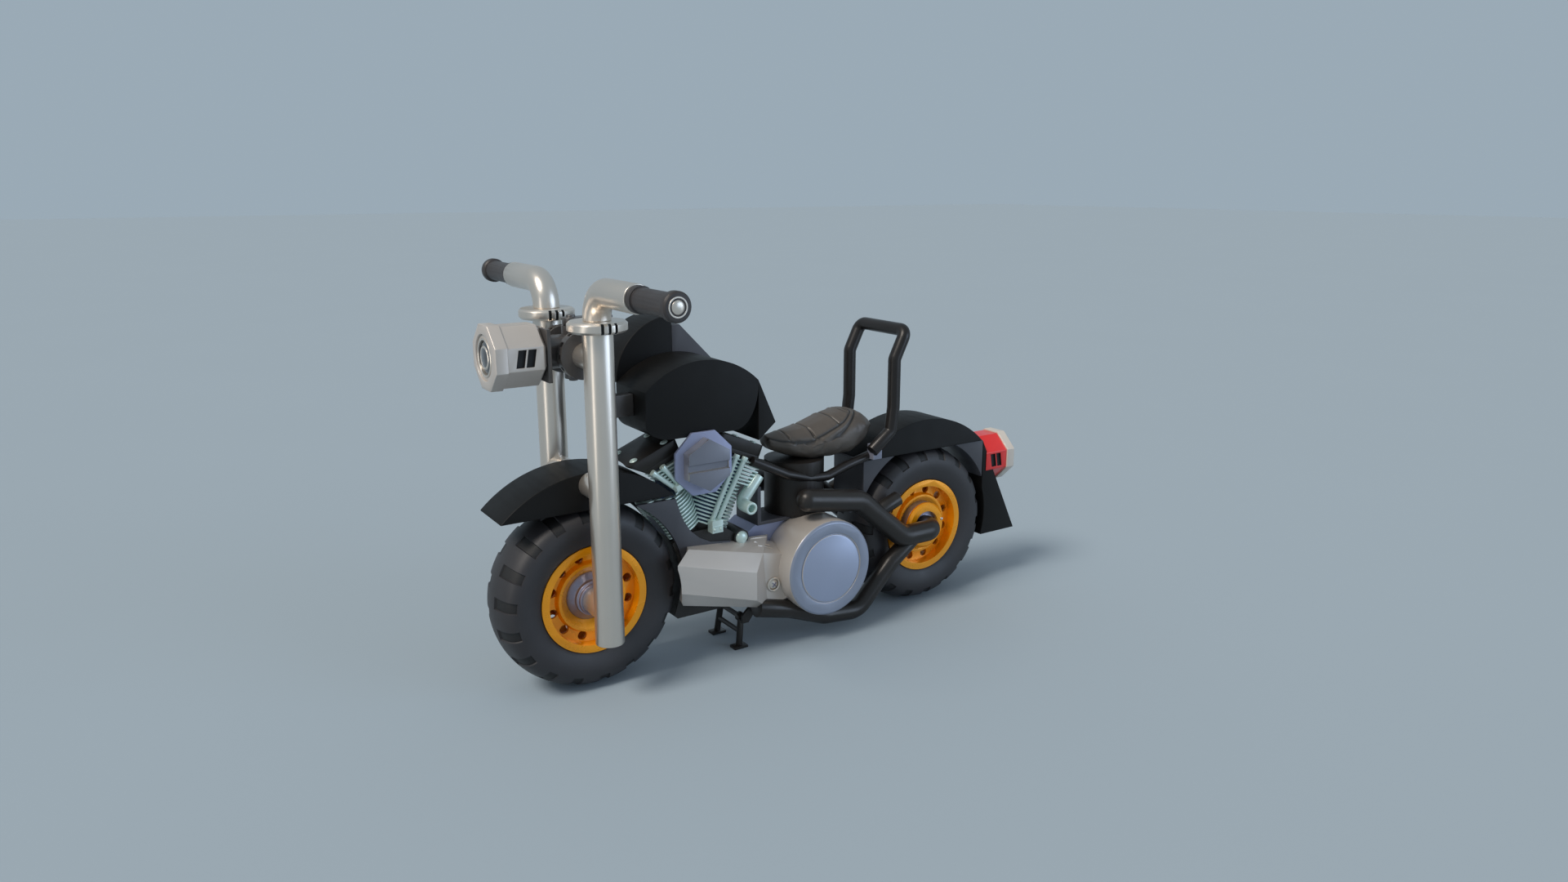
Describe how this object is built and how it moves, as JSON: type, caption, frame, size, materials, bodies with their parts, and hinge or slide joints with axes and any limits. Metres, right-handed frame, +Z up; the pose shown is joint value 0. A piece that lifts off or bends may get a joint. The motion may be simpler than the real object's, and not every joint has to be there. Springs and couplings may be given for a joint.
{
  "type": "two-wheeled v-twin cruiser motorcycle",
  "caption": "Low cruiser motorcycle with an open V-twin engine, fat fork tubes, wide bars, drilled disc wheels, saddle, backrest loop and centre stand.",
  "frame": {"origin": "on the ground, midway between the front tyre's front and the tail's rear, on the centre plane", "axes": "+X forward, +Y to the rider's left, +Z up"},
  "size_m": [2.428, 1.564, 1.494],
  "materials": {
    "tyre_rubber": "matte dark rubber",
    "rim_paint": "satin yellow",
    "hub_steel": "satin steel",
    "chrome": "polished",
    "grip_rubber": "matte",
    "black_paint": "gloss black",
    "frame_grey": "satin grey",
    "fin_alloy": "cast alloy",
    "engine_black": "gloss",
    "cleaner_paint": "satin",
    "pipe_black": "matte heat paint",
    "bar_black": "satin black",
    "seat_leather": "brown-black hide",
    "lamp_glass": "clear",
    "tail_red": "red moulding",
    "tail_bezel": "cream moulding"
  },
  "bodies": {
    "frame": {"air_cleaner_back": "cleaner_paint", "air_cleaner_cover": "cleaner_paint", "battery_tray": "frame_grey", "clutch_drum": "chrome", "cowl_slope": "frame_grey", "crankcase": "frame_grey", "cross_members": "frame_grey", "cylinder_front": "fin_alloy", "cylinder_rear": "fin_alloy", "exhaust_tips": "pipe_black", "front_arch": "frame_grey", "front_exhaust_port": "pipe_black", "gearbox": "frame_grey", "head_cover_front": "engine_black", "head_cover_rear": "engine_black", "intake_tube": "fin_alloy", "lifter_blocks": "fin_alloy", "lower_side_tubes": "pipe_black", "oil_tank": "frame_grey", "primary_case": "chrome", "pushrod_tubes": "chrome", "rear_arch": "frame_grey", "rear_axle": "hub_steel", "rear_exhaust_port": "pipe_black", "rear_fender": "black_paint", "rear_flap": "frame_grey", "seat": "seat_leather", "seat_rails": "bar_black", "side_cowl": "black_paint", "sissy_bar": "bar_black", "sissy_bar_mounts": "bar_black", "stand_bracket": "pipe_black", "steering_neck": "frame_grey", "tail_lamp_bezel": "tail_bezel", "tail_lamp_body": "tail_red", "tail_lamp_lens": "tail_red", "tank": "black_paint", "upper_side_tubes": "pipe_black"},
    "fork": {"fork_tubes": "chrome", "fork_clamps": "chrome", "front_axle": "hub_steel", "handlebars": "chrome", "grips": "grip_rubber", "steering_crown": "frame_grey", "crown_stubs": "chrome", "front_fender": "black_paint", "fender_stubs": "chrome", "headlamp_shell": "chrome", "headlamp_ring": "chrome", "headlamp_lens": "lamp_glass", "headlamp_bracket": "frame_grey"},
    "front_wheel": {"front_tyre": "tyre_rubber", "front_rim": "rim_paint", "front_hub": "hub_steel"},
    "rear_wheel": {"rear_tyre": "tyre_rubber", "rear_rim": "rim_paint", "rear_hub": "hub_steel"},
    "stand": {"centre_stand": "pipe_black"}
  },
  "joints": [
    {"name": "steering", "type": "hinge", "parent": "frame", "child": "fork", "pos_m": [0.87, 0, 1.22], "axis": [0, 0, 1], "range_deg": [-30, 30]},
    {"name": "front_wheel_spin", "type": "hinge", "parent": "fork", "child": "front_wheel", "pos_m": [0.87, 0, 0.344], "axis": [0, 1, 0], "continuous": true},
    {"name": "rear_wheel_spin", "type": "hinge", "parent": "frame", "child": "rear_wheel", "pos_m": [-0.665, 0, 0.344], "axis": [0, 1, 0], "continuous": true},
    {"name": "centre_stand_fold", "type": "hinge", "parent": "frame", "child": "stand", "pos_m": [0.25, 0, 0.122], "axis": [0, 1, 0], "range_deg": [0, 95]}
  ]
}
